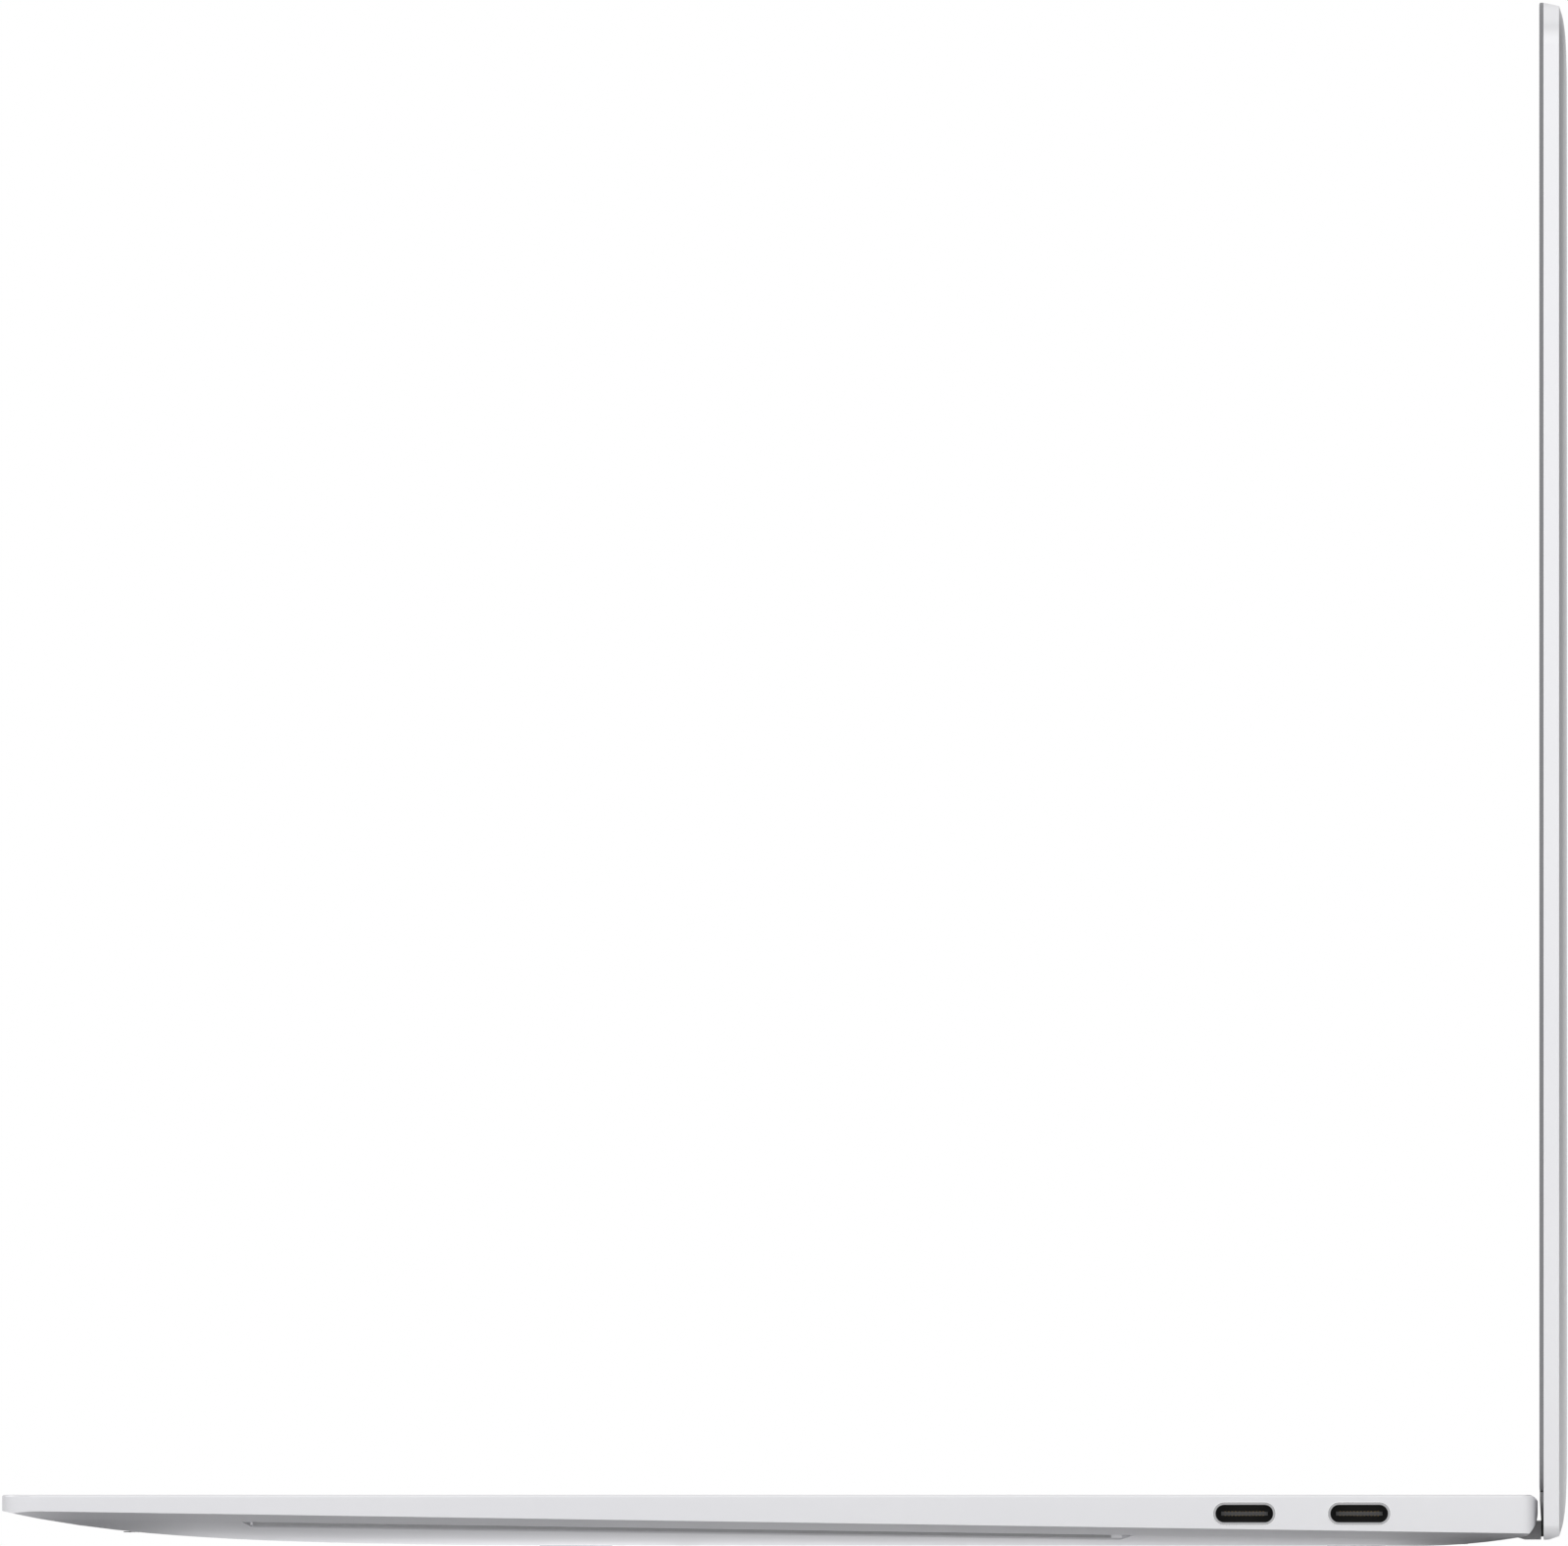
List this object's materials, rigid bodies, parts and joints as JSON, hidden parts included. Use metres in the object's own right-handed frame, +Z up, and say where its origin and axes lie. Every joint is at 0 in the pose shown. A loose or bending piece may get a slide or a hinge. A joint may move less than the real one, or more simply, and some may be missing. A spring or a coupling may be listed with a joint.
{
  "type": "laptop computer",
  "caption": "Slim aluminium laptop computer with a lid on a hidden barrel hinge, a low keyboard, a large touchpad and side ports.",
  "frame": {"origin": "on the table under the middle of the whole outline, lid upright", "axes": "+X towards the right side, -Y towards the user, +Z up"},
  "size_m": [0.31, 0.2264, 0.2247],
  "materials": {
    "anodised_aluminium": "fine bead-blasted and anodised, satin",
    "battery_film": "black wrapped pouch cells",
    "black_foam": "thin black foam",
    "black_plastic": "matt black moulding",
    "board_green": "solder-masked fibreglass",
    "bottom_aluminium": "bead-blasted and anodised, satin",
    "chip_black": "moulded epoxy",
    "copper": "bare copper",
    "cover_glass": "polished dark cover glass",
    "display_stack": "dark display stack",
    "foot_rubber": "matt black rubber",
    "hinge_plastic": "grey painted hinge cover",
    "key_plastic": "finely textured matt black",
    "port_steel": "stamped stainless steel",
    "steel": "plain steel",
    "touch_glass": "etched glass coated to match the metal"
  },
  "bodies": {
    "base": {"top_case": "anodised_aluminium", "bottom_cover": "bottom_aluminium", "front_foot": "foot_rubber", "rear_foot": "foot_rubber", "bottom_screws": "steel", "keyboard_frame": "anodised_aluminium", "keyboard_plate": "steel", "touchpad_bracket": "steel", "speaker_grille_left": "anodised_aluminium", "speaker_grille_right": "anodised_aluminium", "speaker_left": "black_plastic", "speaker_right": "black_plastic", "usb_c_left_front": "port_steel", "usb_c_left_rear": "port_steel", "usb_c_right_front": "port_steel", "usb_c_right_rear": "port_steel", "battery_tray": "black_plastic", "battery_cells": "battery_film", "motherboard": "board_green", "board_chips": "chip_black", "cold_plate": "copper", "ssd": "chip_black", "wifi_card": "board_green", "heat_pipe": "copper", "heat_sink_fins": "copper", "fan_housing_left": "black_plastic", "fan_housing_right": "black_plastic", "hinge_bracket_left": "steel", "hinge_bracket_right": "steel", "hinge_screws_base": "steel"},
    "lid": {"lid_shell": "anodised_aluminium", "display_glass": "cover_glass", "lower_bezel": "black_plastic", "display_panel": "display_stack", "display_gasket": "black_foam", "webcam": "black_plastic", "hinge_cover": "hinge_plastic", "hinge_arm_left": "steel", "hinge_arm_right": "steel", "hinge_screws_lid": "steel"},
    "touchpad_body": {"touchpad": "touch_glass"},
    "fan_left": {"fan_rotor_left": "black_plastic"},
    "fan_right": {"fan_rotor_right": "black_plastic"},
    "power_key": {"power_button": "key_plastic"},
    "key_escape_body": {"key_escape": "key_plastic"},
    "function_keys_body": {"function_keys": "key_plastic"},
    "number_keys_body": {"number_keys": "key_plastic"},
    "key_backspace_body": {"key_backspace": "key_plastic"},
    "key_tab_body": {"key_tab": "key_plastic"},
    "upper_letter_keys_body": {"upper_letter_keys": "key_plastic"},
    "key_caps_lock_body": {"key_caps_lock": "key_plastic"},
    "home_letter_keys_body": {"home_letter_keys": "key_plastic"},
    "key_enter_body": {"key_enter": "key_plastic"},
    "key_left_shift_body": {"key_left_shift": "key_plastic"},
    "lower_letter_keys_body": {"lower_letter_keys": "key_plastic"},
    "key_right_shift_body": {"key_right_shift": "key_plastic"},
    "modifier_keys_body": {"modifier_keys": "key_plastic"},
    "key_space_body": {"key_space": "key_plastic"},
    "arrow_keys_body": {"arrow_keys": "key_plastic"}
  },
  "joints": [
    {"name": "lid_hinge", "type": "hinge", "parent": "base", "child": "lid", "pos_m": [0, 0.10577, 0.00582], "axis": [-1, 0, 0], "range_deg": [-90, 30]},
    {"name": "touchpad_click", "type": "hinge", "parent": "base", "child": "touchpad_body", "pos_m": [0, -0.01918, 0.00792], "axis": [1, 0, 0], "range_deg": [0, 0.3], "stiffness_Nm_per_rad": 9.4, "springref_deg": -0.09},
    {"name": "fan_left_spin", "type": "hinge", "parent": "base", "child": "fan_left", "pos_m": [-0.094, 0.06582, 0.00417], "axis": [0, 0, 1], "continuous": true},
    {"name": "fan_right_spin", "type": "hinge", "parent": "base", "child": "fan_right", "pos_m": [0.094, 0.06582, 0.00417], "axis": [0, 0, 1], "continuous": true},
    {"name": "power_button_press", "type": "slide", "parent": "base", "child": "power_key", "axis": [0, 0, -1], "range_m": [0, 0.0005], "stiffness_N_per_m": 1500},
    {"name": "key_escape_press", "type": "slide", "parent": "base", "child": "key_escape_body", "axis": [0, 0, -1], "range_m": [0, 0.001], "stiffness_N_per_m": 500},
    {"name": "function_keys_press", "type": "slide", "parent": "base", "child": "function_keys_body", "axis": [0, 0, -1], "range_m": [0, 0.001], "stiffness_N_per_m": 6500},
    {"name": "number_keys_press", "type": "slide", "parent": "base", "child": "number_keys_body", "axis": [0, 0, -1], "range_m": [0, 0.001], "stiffness_N_per_m": 6500},
    {"name": "key_backspace_press", "type": "slide", "parent": "base", "child": "key_backspace_body", "axis": [0, 0, -1], "range_m": [0, 0.001], "stiffness_N_per_m": 500},
    {"name": "key_tab_press", "type": "slide", "parent": "base", "child": "key_tab_body", "axis": [0, 0, -1], "range_m": [0, 0.001], "stiffness_N_per_m": 500},
    {"name": "upper_letter_keys_press", "type": "slide", "parent": "base", "child": "upper_letter_keys_body", "axis": [0, 0, -1], "range_m": [0, 0.001], "stiffness_N_per_m": 6500},
    {"name": "key_caps_lock_press", "type": "slide", "parent": "base", "child": "key_caps_lock_body", "axis": [0, 0, -1], "range_m": [0, 0.001], "stiffness_N_per_m": 500},
    {"name": "home_letter_keys_press", "type": "slide", "parent": "base", "child": "home_letter_keys_body", "axis": [0, 0, -1], "range_m": [0, 0.001], "stiffness_N_per_m": 5500},
    {"name": "key_enter_press", "type": "slide", "parent": "base", "child": "key_enter_body", "axis": [0, 0, -1], "range_m": [0, 0.001], "stiffness_N_per_m": 500},
    {"name": "key_left_shift_press", "type": "slide", "parent": "base", "child": "key_left_shift_body", "axis": [0, 0, -1], "range_m": [0, 0.001], "stiffness_N_per_m": 500},
    {"name": "lower_letter_keys_press", "type": "slide", "parent": "base", "child": "lower_letter_keys_body", "axis": [0, 0, -1], "range_m": [0, 0.001], "stiffness_N_per_m": 5000},
    {"name": "key_right_shift_press", "type": "slide", "parent": "base", "child": "key_right_shift_body", "axis": [0, 0, -1], "range_m": [0, 0.001], "stiffness_N_per_m": 500},
    {"name": "modifier_keys_press", "type": "slide", "parent": "base", "child": "modifier_keys_body", "axis": [0, 0, -1], "range_m": [0, 0.001], "stiffness_N_per_m": 3000},
    {"name": "key_space_press", "type": "slide", "parent": "base", "child": "key_space_body", "axis": [0, 0, -1], "range_m": [0, 0.001], "stiffness_N_per_m": 500},
    {"name": "arrow_keys_press", "type": "slide", "parent": "base", "child": "arrow_keys_body", "axis": [0, 0, -1], "range_m": [0, 0.001], "stiffness_N_per_m": 2000}
  ]
}
